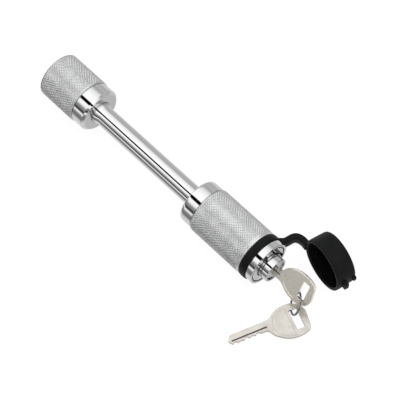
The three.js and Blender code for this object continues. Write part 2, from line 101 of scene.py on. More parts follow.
# %% [markdown]
# ## Materials are small formulas
# A shader is a chain of sums. One small class lets the sums be written as Python: adding or
# multiplying two of its values places the Math node and its links. A second class holds one
# material, with a single method that places any other node.

# %% Values and finishes


class Value:
    """A number on its way through a material. Arithmetic on it adds the Math node that does it."""

    def __init__(self, finish, socket):
        self.finish = finish
        self.socket = socket

    def math(self, operation, first, second):
        return self.finish.node("ShaderNodeMath", {"operation": operation}, {0: first, 1: second})

    def __add__(self, other):
        return self.math("ADD", self, other)

    def __sub__(self, other):
        return self.math("SUBTRACT", self, other)

    def __rsub__(self, other):
        return self.math("SUBTRACT", other, self)

    def __mul__(self, other):
        return self.math("MULTIPLY", self, other)

    __radd__ = __add__
    __rmul__ = __mul__

    def above(self, low, high):
        """0 where the value is below low, 1 above high, and a straight ramp between."""
        ramp = (self - low) * (1 / (high - low))
        return self.math("MINIMUM", self.math("MAXIMUM", ramp, 0), 1)


class Finish:
    """One material: a Principled shader and the nodes that feed it."""

    def __init__(self, name, constants):
        self.material = bpy.data.materials.new(name)
        self.material.use_nodes = True
        self.tree = self.material.node_tree
        self.shader = self.tree.nodes["Principled BSDF"]
        self.fill(self.shader, constants)

    def fill(self, node, inputs):
        for socket, value in inputs.items():
            if isinstance(value, Value):
                self.tree.links.new(value.socket, node.inputs[socket])
            else:
                node.inputs[socket].default_value = value

    def node(self, kind, settings, inputs, output=0):
        """Any node: its type, its settings, then the values or links of its sockets."""
        node = self.tree.nodes.new(kind)
        for name, value in settings.items():
            setattr(node, name, value)
        self.fill(node, inputs)
        return Value(self, node.outputs[output])

    def feed(self, inputs):
        """Links what changes over the surface to the shader, and gives back the material."""
        self.fill(self.shader, inputs)
        return self.material

    def noise(self, size, stretch=(1, 1, 1), turn=0.0, detail=3):
        """Soft noise with blobs about size mm across, squeezed along X, Y and Z by stretch."""
        point = self.node("ShaderNodeTexCoord", {}, {}, "Object")
        scale = tuple(value / (size * MM) for value in stretch)
        place = self.node("ShaderNodeMapping", {}, {"Vector": point, "Rotation": (0, 0, turn)})
        place = self.node("ShaderNodeMapping", {}, {"Vector": place, "Scale": scale})
        return self.node("ShaderNodeTexNoise", {}, {"Vector": place, "Scale": 1, "Detail": detail})

    def mix(self, factor, first, second):
        """A colour between two colours."""
        settings = {"data_type": "RGBA"}
        inputs = {0: factor, 6: (*first, 1), 7: (*second, 1)}
        return self.node("ShaderNodeMix", settings, inputs, 2)

    def bump(self, height, depth):
        """A normal tilted by a height, where a height of 1 stands depth mm tall."""
        return self.node("ShaderNodeBump", {}, {"Height": height, "Distance": depth * MM})


# %% [markdown]
# ## Floor and light tent
# Polished chrome has no colour of its own: it shows the room. So the room is a light tent, a world
# that is white where a softbox would hang, grey elsewhere, and black in one narrow seam overhead
# along the pin. That seam draws the thin black line down every polished cylinder. Its light
# depends only on how far a direction leans from straight up, measured across the pin. The floor is
# hidden from reflections, so the tent goes all the way round and its lower half stands for the
# table as the polished metal sees it.

# %% Floor


def floor():
    """A pale square under the lock, a hair below its lowest point. It glows faintly, as paper
    does when it is lit from behind, so shadows on it stay weak."""
    half, drop = 1.5, -0.0002
    mesh = bpy.data.meshes.new("floor")
    outline = [(-half, -half, drop), (half, -half, drop), (half, half, drop), (-half, half, drop)]
    mesh.from_pydata(outline, [], [(0, 1, 2, 3)])
    made = bpy.data.objects.new("floor", mesh)
    bpy.context.scene.collection.objects.link(made)
    paper = Finish("floor_paper", {
        "Base Color": (0.1, 0.1, 0.1, 1),
        "Roughness": 1.0,
        "Specular IOR Level": 0.0,
        "Emission Color": (1, 1, 1, 1),
        "Emission Strength": 0.93,
    })
    mesh.materials.append(paper.material)
    made.visible_glossy = False


floor()

# %% Light tent
TENT = [                                 # lean in degrees, and how bright the tent is there
    (-180, 0.95), (-143, 1.0), (-133, 0.65), (-126, 0.3), (-112, 0.3), (-104, 0.45),
    (-98, 1.1), (-94, 1.7), (-91, 1.1), (-87, 0.35), (-84, 0.08), (-77, 0.08), (-74, 0.36),
    (-66, 0.4), (-61, 0.6), (-57, 1.1), (-52, 1.5), (-37, 1.7), (-34, 0.0), (-20, 0.0),
    (-18, 1.8), (-5, 1.8), (12, 1.65), (32, 1.4), (41, 1.1), (47, 0.8), (55, 0.62), (70, 0.78),
    (90, 0.66), (112, 0.95), (150, 0.7), (180, 0.95),
]


def light_tent():
    """A world whose brightness is looked up in TENT by the lean atan2(y, z) of a direction."""
    world = bpy.data.worlds.new("light_tent")
    world.use_nodes = True
    tree = world.node_tree
    direction = tree.nodes.new("ShaderNodeTexCoord")
    parts = tree.nodes.new("ShaderNodeSeparateXYZ")
    lean = tree.nodes.new("ShaderNodeMath")
    lean.operation = "ARCTAN2"
    share = tree.nodes.new("ShaderNodeMapRange")
    share.inputs["From Min"].default_value = -math.pi
    share.inputs["From Max"].default_value = math.pi
    ramp = tree.nodes.new("ShaderNodeValToRGB")
    tree.links.new(direction.outputs["Generated"], parts.inputs[0])
    tree.links.new(parts.outputs["Y"], lean.inputs[0])
    tree.links.new(parts.outputs["Z"], lean.inputs[1])
    tree.links.new(lean.outputs[0], share.inputs["Value"])
    tree.links.new(share.outputs[0], ramp.inputs[0])
    brightest = max(level for _, level in TENT)
    elements = ramp.color_ramp.elements
    while len(elements) < len(TENT):
        elements.new(0.5)
    for element, (degrees, level) in zip(elements, TENT):
        element.position = (degrees + 180) / 360
        grey = level / brightest
        element.color = (grey, grey, grey, 1)
    background = tree.nodes["Background"]
    tree.links.new(ramp.outputs[0], background.inputs["Color"])
    background.inputs["Strength"].default_value = brightest
    bpy.context.scene.world = world


light_tent()
print("tent stops:", len(TENT))

# %% [markdown]
# ## Finishes
# Eight finishes cover the lock: mirror chrome, the satin of the knurled grips, ground steel inside,
# near-black steel as painted shade in the face plate's cuts, brass, the nickel of the stamped keys,
# drawn wire, and rubber.
# Each has its own fine detail, such as smudges, lathe marks, rolling streaks or a mould's grain.

# %% Plated metal


def mirror_chrome():
    """Plated and polished: nearly a mirror, with faint haze in soft patches."""
    finish = Finish("mirror_chrome", {"Metallic": 1, "Base Color": (0.57, 0.572, 0.578, 1)})
    haze = finish.noise(14).above(0.45, 0.75)
    pits = finish.noise(0.6)
    return finish.feed({"Roughness": 0.04 + haze * 0.05, "Normal": finish.bump(pits, 0.002)})


def knurl_satin():
    """Satin plate on the knurl, a little greyer in soft patches where grime sits."""
    finish = Finish("knurl_satin", {"Metallic": 1})
    grime_and_painted_shade = finish.noise(7).above(0.35, 0.75)
    grain = finish.noise(0.25)
    colour = finish.mix(grime_and_painted_shade, (0.64, 0.642, 0.645), (0.54, 0.542, 0.545))
    rough = 0.34 + grain * 0.14
    return finish.feed({
        "Base Color": colour, "Roughness": rough, "Normal": finish.bump(grain, 0.02),
    })


def key_nickel(name, light, dark, turn):
    """Nickel plate on stamped brass: rolling streaks along the key, duller handled spots, and
    painted shade, close to the dark colour, where the piece's own attribute for it says so."""
    finish = Finish(name, {"Metallic": 1})
    streaks = finish.noise(1.6, (0.12, 3, 3), turn)
    handled = finish.noise(6).above(0.4, 0.72)
    grime_and_painted_shade = finish.node("ShaderNodeAttribute", {"attribute_name": "grime_and_painted_shade"}, {}, "Fac")
    # The attribute takes the groove floors nearly to the dark colour: painted shade.
    share = 1 - (1 - handled * 0.12) * (1 - grime_and_painted_shade * 0.9)
    colour = finish.mix(share, light, dark)
    rough = 0.24 + handled * 0.1 + streaks * 0.1
    return finish.feed({
        "Base Color": colour, "Roughness": rough, "Normal": finish.bump(streaks, 0.004),
    })


CHROME = mirror_chrome()
KNURL = knurl_satin()

# %% Metal inside the barrel


def ground_steel():
    """Hardened steel: grinding streaks round the axis and a slight tint of oil."""
    finish = Finish("ground_steel", {"Metallic": 1})
    streaks = finish.noise(2, (9, 1, 1))
    tint = finish.noise(6).above(0.4, 0.7)
    colour = finish.mix(tint, (0.55, 0.56, 0.575), (0.46, 0.45, 0.43))
    rough = 0.22 + streaks * 0.2
    return finish.feed({
        "Base Color": colour, "Roughness": rough, "Normal": finish.bump(streaks, 0.01),
    })


def plug_brass():
    """Brass bar stock: fine turning marks and a little tarnish."""
    finish = Finish("plug_brass", {"Metallic": 1})
    marks = finish.noise(1.2, (8, 1, 1))
    tarnish = finish.noise(3).above(0.45, 0.7)
    colour = finish.mix(tarnish, (0.78, 0.62, 0.3), (0.55, 0.4, 0.18))
    rough = 0.2 + marks * 0.15
    return finish.feed({
        "Base Color": colour, "Roughness": rough, "Normal": finish.bump(marks, 0.01),
    })


def drawn_wire():
    """Bright spring wire with faint drawing marks."""
    finish = Finish("drawn_wire", {"Metallic": 1})
    marks = finish.noise(0.8)
    colour = finish.mix(marks, (0.24, 0.24, 0.24), (0.42, 0.42, 0.415))
    return finish.feed({"Base Color": colour, "Roughness": 0.14 + marks * 0.14})


def shaded_recess_steel():
    """The floor of a cut: rough, greasy in spots, and near black as painted shade."""
    finish = Finish("shaded_recess_steel", {"Metallic": 1})
    grease = finish.noise(2).above(0.35, 0.7)
    grain = finish.noise(0.4)
    # Both colours are near black: painted shade on the cuts' floor. Grease makes random spots.
    colour = finish.mix(grease, (0.1, 0.1, 0.101), (0.055, 0.055, 0.055))
    rough = 0.42 + grain * 0.2
    return finish.feed({
        "Base Color": colour, "Roughness": rough, "Normal": finish.bump(grain, 0.02),
    })


STEEL = ground_steel()
SHADED_RECESS_STEEL = shaded_recess_steel()
BRASS = plug_brass()
WIRE = drawn_wire()

# %% Moulded rubber


def moulded_rubber():
    """Black rubber: satin, with the mould's fine grain and a trace of grey bloom."""
    finish = Finish("moulded_rubber", {"Specular IOR Level": 0.09})
    grain = finish.noise(0.35)
    bloom = finish.noise(8).above(0.4, 0.75)
    colour = finish.mix(bloom, (0.004, 0.0042, 0.0044), (0.008, 0.0084, 0.0088))
    rough = 0.4 + bloom * 0.12 + grain * 0.1
    return finish.feed({
        "Base Color": colour, "Roughness": rough, "Normal": finish.bump(grain, 0.02),
    })


RUBBER = moulded_rubber()

# %% [markdown]
# ## Gathering points and faces
# Every new piece is made from loops of points. A small builder keeps them, joins neighbouring
# loops by quads, and closes the last ones by a point or by a flat lid. It works in millimetres.
# Its last step moves the points into place and hands the mesh to Blender.

# %% The piece builder


class Builder:
    """Loops of points and the faces between them, in millimetres."""

    def __init__(self):
        self.points = []
        self.faces = []
        self.painted_shade = []
        self.count = 0

    def add(self, points):
        """Keeps points, given as an array whose last axis is x, y, z, and returns their numbers."""
        points = np.asarray(points, float)
        numbers = self.count + np.arange(points[..., 0].size).reshape(points.shape[:-1])
        self.points.append(points.reshape(-1, 3))
        self.count += numbers.size
        return numbers

    def skin(self, grid, wrap_rows=False, flip=None):
        """Quads between neighbours of a grid of point numbers whose columns wrap round. A quad
        is split from its first corner, so flip marks those that start one corner later."""
        grid = np.concatenate([grid, grid[:, :1]], 1)
        if wrap_rows:
            grid = np.concatenate([grid, grid[:1]], 0)
        quads = np.stack([grid[:-1, :-1], grid[:-1, 1:], grid[1:, 1:], grid[1:, :-1]], -1)
        if flip is not None:
            quads = np.where(flip[..., None], np.roll(quads, 1, -1), quads)
        self.faces += quads.reshape(-1, 4).tolist()

    def fan(self, loop, point):
        """Triangles from a loop of point numbers to one new point."""
        tip = np.full_like(loop, self.add(point))
        self.faces += np.stack([loop, np.roll(loop, -1), tip], -1).tolist()

    def lid(self, *loops):
        """Flat triangles over the area inside the first loop and outside the others."""
        numbers = np.concatenate(loops)
        points = np.concatenate(self.points)
        outlines = [[Vector(point) for point in points[loop].tolist()] for loop in loops]
        triangles = np.array(tessellate_polygon(outlines))
        self.faces += numbers[triangles].tolist()

    def finish(self, name, material, body, slot, nodes, place=None, sharp=35):
        """Makes the object: points moved by place and into the frame, faces turned outward,
        smooth except across edges sharper than the given angle. An attribute for painted shade
        is 1 at the points marked for it and 0 elsewhere."""
        points = np.concatenate(self.points)
        if place is not None:
            turn = np.array(place)
            points = points @ turn[:3, :3].T + turn[:3, 3]
        mesh = bpy.data.meshes.new(name)
        mesh.from_pydata((points * MM + np.array(ORIGIN)).tolist(), [], self.faces)
        # This attribute is 1 at the points marked for painted shade.
        grime_and_painted_shade = np.zeros(self.count)
        grime_and_painted_shade[self.painted_shade] = 1
        mesh.attributes.new("grime_and_painted_shade", "FLOAT", "POINT").data.foreach_set("value", grime_and_painted_shade)
        shape = bmesh.new()
        shape.from_mesh(mesh)
        bmesh.ops.remove_doubles(shape, verts=shape.verts, dist=1e-7)
        bmesh.ops.recalc_face_normals(shape, faces=shape.faces)
        open_edges = sum(len(edge.link_faces) != 2 for edge in shape.edges)
        shape.to_mesh(mesh)
        shape.free()
        mesh.materials.append(material)
        mesh.shade_smooth()
        mesh.set_sharp_from_angle(angle=math.radians(sharp))
        made = bpy.data.objects.new(name, mesh)
        bpy.context.scene.collection.objects.link(made)
        if nodes:
            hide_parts(*nodes)
        if body:
            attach(made, body)
        print(name, "faces:", len(mesh.polygons), "open edges:", open_edges)
        return made


# %% [markdown]
# ## Turned pieces
# A lathe makes a surface of revolution, so a turned piece is a profile, a list of places along the
# axis with a radius at each, swung round the axis. A truly sharp corner never catches the light,
# so each corner of a profile is first eased by a short parabola.

# %% Eased corners
EASE_STEPS = 4


def eased(profile, closed=False):
    """Each corner P with an ease e becomes the parabola (1-s)^2 A + 2s(1-s) P + s^2 B, where A
    and B lie e from P on its two sides. One more point beyond A and B keeps the flats flat.
    An entry is (x, radius, e), and the ease is left out where the corner stays sharp."""
    s = np.linspace(0, 1, EASE_STEPS)[:, None]
    points = np.array([entry[:2] for entry in profile], float)
    out = []
    for i, (entry, corner) in enumerate(zip(profile, points)):
        ends = not closed and i in (0, len(profile) - 1)
        if ends or len(entry) < 3:
            out.append(corner[None])
            continue
        back, ahead = points[i - 1] - corner, points[(i + 1) % len(points)] - corner
        back, ahead = (way * entry[2] / np.linalg.norm(way) for way in (back, ahead))
        bend = (1 - s) ** 2 * (corner + back) + 2 * s * (1 - s) * corner + s**2 * (corner + ahead)
        out += [corner[None] + 1.25 * back, bend, corner[None] + 1.25 * ahead]
    return np.concatenate(out)


# %% Surfaces of revolution


def swing(profile, around, relief=None):
    """Points (x, r cos a, r sin a) for each profile row (x, r) and each of the angles a round the
    axis. relief(x, r, a), in mm, is added to the radius."""
    angles = np.arange(around) * 2 * math.pi / around
    x = np.repeat(profile[:, :1], around, 1)
    r = np.repeat(profile[:, 1:], around, 1)
    if relief is not None:
        r = r + relief(x, r, angles[None, :])
    return np.stack([x, r * np.cos(angles), r * np.sin(angles)], -1)


def turned_bar(builder, profile, around=128):
    """A turned solid whose profile starts and ends on the axis."""
    grid = builder.add(swing(profile[1:-1], around))
    builder.skin(grid)
    builder.fan(grid[0], [profile[0, 0], 0, 0])
    builder.fan(grid[-1], [profile[-1, 0], 0, 0])


def turned_ring(builder, profile, around=128, relief=None):
    """A turned solid with a hole, whose profile closes on itself."""
    builder.skin(builder.add(swing(profile, around, relief)), wrap_rows=True)


# %% [markdown]
# ## The pin
# A plain 5/8 inch bar with a small flare where it meets the head. Its far end, hidden in the
# barrel, has the round groove that the locking balls drop into. The groove is an arc of a circle
# a little larger than a ball.

# %% Pin
SHANK_R = 7.94
BALL_X, BALL_OUT, BALL_TRAVEL = 127.0, 11.45, 2.4
TIP_X = BALL_X + 10


def groove_arc(radius=3.4, steps=14):
    """The groove's profile: an arc centred where a ball's centre is when it is locked in."""
    centre = BALL_OUT - BALL_TRAVEL
    start = math.asin((centre - SHANK_R) / radius)
    angles = np.linspace(math.pi + start, 2 * math.pi - start, steps)
    return [(BALL_X + radius * math.cos(a), centre + radius * math.sin(a)) for a in angles]


pin = Builder()
turned_bar(pin, eased([
    (-25, 0), (-25, 6, 0.5), (-0.3, 6), (-0.3, 9.2, 0.3), (2.2, 8.9, 0.8), (4.7, SHANK_R, 0.8),
    *groove_arc(), (TIP_X - 3, SHANK_R, 0.4), (TIP_X, SHANK_R - 2.4, 0.4), (TIP_X, 0),
]), 160)
pin.finish("pin", CHROME, "pin", "chrome", ["pin_shank"])

# %% [markdown]
# ## The knurl
# Two sets of V grooves wind round each grip, one leaning left and one right, and leave small
# four-sided studs. Let u count groove pitches round the grip and v count them along it. The
# grooves lie where u+v or u-v is a whole number, and the height rises with the distance to the
# nearest one. Four grid points a pitch land exactly on the grooves and on the studs' tops.

# %% Knurled sleeve
STUDS_ROUND = 64
STUD_STEPS = 4
GRIP_R = 19.05
STUD_DEPTH = 0.6
PITCH = 2 * math.pi * GRIP_R / STUDS_ROUND


def knurled_ring(builder, before, start, end, after):
    """A turned ring whose profile is before, then a knurl from start to end, then after. The
    knurl's height is min(d1, d2), cut flat near the top, where d1 and d2 are the distances of
    u+v and u-v from whole numbers."""
    rows = int((end - start) / PITCH * STUD_STEPS) // 2 * 2
    steps = np.arange(rows + 1)
    x = start + (end - start) * steps / rows
    around = STUDS_ROUND * STUD_STEPS
    v, u = steps[:, None] / STUD_STEPS, np.arange(around)[None, :] / STUD_STEPS
    d1, d2 = np.abs(u + v - np.round(u + v)), np.abs(u - v - np.round(u - v))
    height = np.minimum(np.minimum(d1, d2) / 0.45, 1)
    edge = np.minimum(np.minimum(steps, rows - steps) / 2, 1)[:, None]
    points = swing(np.stack([x, np.full(rows + 1, GRIP_R)], 1), around)
    points[..., 1:] *= (1 - STUD_DEPTH * (1 - height * edge) / GRIP_R)[..., None]
    lean = (np.arange(rows)[:, None] + np.arange(around)[None, :]) % STUD_STEPS
    grids = [builder.add(swing(part, around)) for part in (before, after)]
    knurl = builder.add(points)
    builder.skin(knurl, flip=lean == STUD_STEPS - 1)
    builder.skin(np.concatenate([knurl[-1:], grids[1], grids[0], knurl[:1]]))


# %% [markdown]
# ## The fixed head
# One turned piece with two finishes: a knurled grip, and a polished neck beside it. A narrow
# groove between them shows as a dark line. The grip's far end is a plain disc with a bevel.

# %% Head
HEAD_LENGTH, HEAD_NECK, NECK_R = 48.7, 12.8, 18.2

head_grip = Builder()
knurled_ring(
    head_grip,
    eased([(-26, 0.05), (-HEAD_LENGTH + 0.5, 0.05), (-HEAD_LENGTH + 0.5, 11, 0.3),
           (-HEAD_LENGTH, 11.6, 0.3), (-HEAD_LENGTH, 18.2, 0.3), (-HEAD_LENGTH + 0.7, 18.9)]),
    -HEAD_LENGTH + 0.9, -HEAD_NECK - 0.5,
    eased([(-HEAD_NECK - 0.3, 18.75, 0.1), (-HEAD_NECK, 18.4, 0.1), (-HEAD_NECK, 6.3),
           (-25.3, 6.3), (-25.3, 0.05)]),
)
head_grip.finish("head_grip", KNURL, "pin", "knurled_steel", ["head_knob"])

head_neck = Builder()
turned_ring(head_neck, eased([
    (-HEAD_NECK - 0.2, 6.3), (-HEAD_NECK - 0.2, 17.5), (-HEAD_NECK + 0.6, 17.5),
    (-HEAD_NECK + 0.6, NECK_R, 0.2), (-2.2, NECK_R, 0.5), (0, NECK_R - 2.1, 0.4),
    (0, 9.5, 0.2), (-0.6, 9.5), (-0.6, 6.3),
], closed=True), 160)
head_neck.finish("head_neck", CHROME, "pin", "chrome", ["head_knob"])

# %% [markdown]
# ## The barrel's shell
# The barrel is a sleeve: a polished neck toward the pin, then the second grip, then a plain nose
# that the rubber band sits on. Inside are the entry hole, the seal's groove and the main bore.

# %% Barrel
SPAN, BARREL_NECK, BARREL_GRIP = 106.6, 12.1, 48.9
GRIP_X = SPAN + BARREL_NECK
BAND_X = GRIP_X + BARREL_GRIP + 1.5
BAND_WIDTH = 6.3
FLANGE_X = BAND_X + BAND_WIDTH + 0.6
ENTRY_R, BORE_R, NOSE_R = 8.3, 16.2, 17.6

barrel_neck = Builder()
turned_ring(barrel_neck, eased([
    (SPAN, ENTRY_R, 0.3), (SPAN, NECK_R - 2.2, 0.4), (SPAN + 0.9, NECK_R - 0.5, 0.6),
    (SPAN + 2.6, NECK_R, 0.8), (GRIP_X - 0.6, NECK_R, 0.2), (GRIP_X - 0.6, 17.5),
    (GRIP_X + 0.2, 17.5), (GRIP_X + 0.2, ENTRY_R), (SPAN + 6.9, ENTRY_R), (SPAN + 6.9, 10.6),
    (SPAN + 3.4, 10.6), (SPAN + 3.4, ENTRY_R),
], closed=True), 160)
barrel_neck.finish("barrel_neck", CHROME, "barrel", "chrome", ["barrel_shell"])

barrel_grip = Builder()
knurled_ring(
    barrel_grip,
    eased([(SPAN + 13.6, BORE_R), (SPAN + 13.6, ENTRY_R), (GRIP_X, ENTRY_R), (GRIP_X, 18.4, 0.1),
           (GRIP_X + 0.3, 18.75, 0.1)]),
    GRIP_X + 0.5, GRIP_X + BARREL_GRIP - 0.5,
    eased([(GRIP_X + BARREL_GRIP - 0.2, 18.9, 0.1), (BAND_X, 18.3, 0.2), (BAND_X, NOSE_R),
           (FLANGE_X - 0.3, NOSE_R), (FLANGE_X - 0.3, BORE_R)]),
)
barrel_grip.finish("barrel_grip", KNURL, "barrel", "knurled_steel", ["barrel_shell"])

# %% [markdown]
# ## The lock's front
# The lock cylinder's housing ends in a flange with a thin rim. A round recess lies inside the rim
# and a hub stands in its middle, with the plug in it. The wafers' two channels are cut beside the
# plug's bore. In polar form each is the smaller of the radii at which a ray leaves its two walls.

# %% Lock cylinder
HOUSING_X = 146.5
FACE_X = FLANGE_X + 5.4
HUB_X = FACE_X + 7.4
PLUG_BORE_R = 8.2
KEY_TILT = math.radians(23.9)
CHANNEL_END_R, CHANNEL_HALF = 9.2, 3.3
CHANNEL_LEAN = 1.2
CHANNEL_FROM, CHANNEL_TO = 164.45, 182.55


def wafer_channels(x, r, angle):
    """How far the two wafer channels reach beyond the plug's bore: min(a/cos, b/|sin|) of the
    angle from each channel's middle, less the bore's radius, and never below 0."""
    depth = np.zeros(np.broadcast(x, angle).shape)
    for middle in (-math.pi / 2 - KEY_TILT, math.pi - KEY_TILT):
        lean = np.angle(np.exp(1j * (angle - middle)))
        facing = np.abs(lean) < CHANNEL_LEAN
        leaves_at = np.minimum(CHANNEL_END_R / np.cos(np.where(facing, lean, 0)),
                               CHANNEL_HALF / (np.abs(np.sin(lean)) + 1e-6))
        depth = np.maximum(depth, np.where(facing, leaves_at - PLUG_BORE_R, 0))
    inside = (x > CHANNEL_FROM) & (x < CHANNEL_TO) & (r == PLUG_BORE_R)
    return np.where(inside, np.maximum(depth, 0), 0)


bore = [(x, PLUG_BORE_R) for x in (182.6, 182.5, 164.5, 164.4)]
lock_front = Builder()
turned_ring(lock_front, eased([
    (HOUSING_X, PLUG_BORE_R), (HOUSING_X, 15.9, 0.3), (FLANGE_X, 15.9), (FLANGE_X, 18, 0.3),
    (FACE_X, 18, 0.4), (FACE_X, 16.3, 0.3), (FACE_X - 2.4, 16.3), (FACE_X - 2.4, 10.2),
    (HUB_X, 10.2, 0.5), (HUB_X, 8.8, 0.2), (HUB_X - 1.4, 8.8), (HUB_X - 1.4, PLUG_BORE_R), *bore,
], closed=True), 192, wafer_channels)
lock_front.finish("lock_front", CHROME, "barrel", "chrome", ["cylinder_housing"])

# %% [markdown]
# ## Flat pieces with eased edges
# The face plate, the keys and the cap's lugs are flat shapes with a thickness. Each is drawn as an
# outline, and a small rounded section is carried round it. The outline is offset along its own
# normals, so the rounded edge follows every corner, and flat lids close the top and the bottom.

# %% Outlines


def trace(start, *steps, curve_steps=8):
    """A closed outline from straight steps (x, y) and curved steps (cx, cy, x, y), where a curve
    is the parabola (1-s)^2 P + 2s(1-s) C + s^2 Q from the last point P by way of C to Q."""
    points = [np.array([start], float)]
    s = np.linspace(0, 1, curve_steps + 1)[1:, None]
    for step in steps:
        last, goal = points[-1][-1], np.array(step[-2:], float)
        if len(step) == 2:
            points.append(goal[None])
        else:
            through = np.array(step[:2], float)
            points.append((1 - s) ** 2 * last + 2 * s * (1 - s) * through + s**2 * goal)
    return np.concatenate(points)


def arc(radius, start, end, steps):
    """Points (r cos a, r sin a) for evenly spaced angles a, in degrees."""
    a = np.radians(np.linspace(start, end, steps))
    return np.stack([radius * np.cos(a), radius * np.sin(a)], 1)


def outward(outline):
    """At each corner, the offset that moves both its sides out by 1: (n1 + n2) / (1 + n1.n2),
    where n1 and n2 are the sides' normals. The outline runs anticlockwise."""
    side = np.roll(outline, -1, 0) - outline
    normal = np.stack([side[:, 1], -side[:, 0]], 1) / np.linalg.norm(side, axis=1)[:, None]
    before = np.roll(normal, 1, 0)
    return (normal + before) / (1 + (normal * before).sum(1)).clip(0.5)[:, None]


# %% Walls and slabs


def wall(builder, outline, section):
    """Carries a section round an outline: a loop for each (out, height) of the section. Returns
    the loops' point numbers, one row each."""
    push = outward(outline)
    loops = [np.column_stack([outline + push * out, np.full(len(outline), height)])
             for out, height in section]
    grid = builder.add(np.stack(loops))
    builder.skin(grid)
    return grid


def rim(ease, height, rise, side=-1):
    """Section of an eased edge at a height: a quarter round as large as ease, then a short flat.
    rise is 1 for an upper edge and -1 for a lower one. side is -1 at an outer edge, and 1 at the
    edge of a hole or a pocket."""
    a = np.linspace(0, math.pi / 2, EASE_STEPS)
    out = list(zip(side * ease * (1 - np.cos(a)), height - rise * ease * (1 - np.sin(a))))
    return out + [(side * 1.3 * ease, height)]


def slab(builder, outline, low, high, ease):
    """A flat piece between two heights with eased edges."""
    grid = wall(builder, outline, rim(ease, low, -1)[::-1] + rim(ease, high, 1))
    builder.lid(grid[0])
    builder.lid(grid[-1])


# A piece drawn flat, stood up across the pin: its x and y become the lock's Y and Z.
STAND = Matrix(((0, 0, 1, 0), (1, 0, 0, 0), (0, 1, 0, 0), (0, 0, 0, 1)))

# %% [markdown]
# ## The face plate
# A steel ring lies in the recess round the hub. A chord groove and a radial slot cross it, and
# leave three raised lands on a thin floor, which break up the reflections of the lock's face.

# %% Face plate
PLATE_TURN = math.radians(23.6)
PLATE_IN, PLATE_OUT = 10.5, 15.9
PLATE_LOW, PLATE_FLOOR, PLATE_HIGH = FACE_X - 2.1, FACE_X - 1.6, FACE_X - 0.2
CHORD, SLOT = (10.6, 12.5), (0.2, 3.6)   # where the two cuts lie, beside the middle
LAND_IN, LAND_OUT = 10.9, 15.3


def passing(radius, x):
    """Angle, in degrees, at which a circle passes at x beside its middle: acos(x / radius)."""
    return math.degrees(math.acos(x / radius))


LANDS = [
    np.concatenate([
        arc(LAND_OUT, passing(LAND_OUT, CHORD[0]), passing(LAND_OUT, SLOT[1]), 12),
        arc(LAND_IN, passing(LAND_IN, SLOT[1]), passing(LAND_IN, CHORD[0]), 20),
    ]),
    np.concatenate([
        arc(LAND_OUT, passing(LAND_OUT, SLOT[0]), 360 - passing(LAND_OUT, CHORD[0]), 90),
        arc(LAND_IN, 360 - passing(LAND_IN, CHORD[0]), passing(LAND_IN, SLOT[0]), 100),
    ]),
    arc(LAND_OUT, -passing(LAND_OUT, CHORD[1]), passing(LAND_OUT, CHORD[1]), 30),
]
plate_place = Matrix.Rotation(PLATE_TURN, 4, "X") @ STAND

# The thin floor is near-black steel: painted shade in the cuts between the lands.
plate_floor = Builder()
turned_ring(plate_floor, np.array([
    (PLATE_LOW, PLATE_IN), (PLATE_LOW, PLATE_OUT), (PLATE_FLOOR, PLATE_OUT), (PLATE_FLOOR, PLATE_IN),
]), 192)
plate_floor.finish("plate_floor", SHADED_RECESS_STEEL, "barrel", "chrome", ["face_plate"])

plate_lands = Builder()
for land in LANDS:
    slab(plate_lands, land, PLATE_FLOOR - 0.1, PLATE_HIGH, 0.25)
plate_lands.finish("plate_lands", CHROME, "barrel", "chrome", ["face_plate"], plate_place)

# %% [markdown]
# ## The keys
# A key is stamped from 2.2 mm nickel-plated brass. Its bow has a shallow panel pressed into each
# side and a slot for the ring. A groove is milled along each side of the blade, and five cuts of
# different depths lift the wafers. Panel, slot, groove and edge are all walls round an outline.
# Points on the grooves' floors are marked, and the finish paints shade there, nearly black.

# %% Key outline
BLADE_HALF, BLADE_LENGTH = 3.7, 33.4
KEY_THICKNESS = 2.2
BOW_LENGTH, BOW_MIDDLE, BOW_HALF = 27.0, 3.6, 13.3
BOW_LOW, BOW_HIGH = BOW_MIDDLE - BOW_HALF, BOW_MIDDLE + BOW_HALF
CUTS = [1.3, 0.8, 1.5, 0.5, 1.2]         # depths, from the bow

cut_steps = []
for number, depth in enumerate(CUTS):
    x = -9.5 - 4.4 * number
    cut_steps += [(x, BLADE_HALF), (x - 1.2, BLADE_HALF - depth), (x - 2.6, BLADE_HALF - depth),
                  (x - 3.8, BLADE_HALF - 0.15)]

KEY_OUTLINE = trace(
    (-BLADE_LENGTH, 0.4), (-BLADE_LENGTH + 2.8, -BLADE_HALF), (-3, -BLADE_HALF),
    (0, -BLADE_HALF, 2, -5.4), (7, BOW_LOW, 14.5, BOW_LOW), (18.4, BOW_LOW, 19.8, BOW_LOW + 0.8),
    (BOW_LENGTH, BOW_LOW + 4.1, BOW_LENGTH, 1.2), (BOW_LENGTH - 1.2, 11.4),
    (BOW_LENGTH - 1.8, 15.4, 20.6, BOW_HIGH - 0.8), (18.4, BOW_HIGH, 15, BOW_HIGH),
    (7, BOW_HIGH, 1.6, 11.6), (-1.4, 9.4, -2.6, 6.4), (-3.6, BLADE_HALF, -6.4, BLADE_HALF),
    *cut_steps, (-BLADE_LENGTH + 1.6, 2.6),
)
KEY_PANEL = trace(
    (13.4, BOW_LOW + 2.4), (13.4, BOW_HIGH - 1.9), (7.6, BOW_HIGH - 2, 3.4, 10.4),
    (0.6, 7.6, 0.6, 3.4), (0.6, -1.2, 3.4, -4.0), (7.4, BOW_LOW + 2.5, 12.6, BOW_LOW + 2.4),
)
KEY_SLOT = trace(
    (15.4, -3.4), (15.4, -4.2, 16.2, -4.2), (20.7, -4.2), (21.5, -4.2, 21.5, -3.4), (21.5, 11.2),
    (21.5, 12, 20.7, 12), (16.2, 12), (15.4, 12, 15.4, 11.2), curve_steps=4,
)
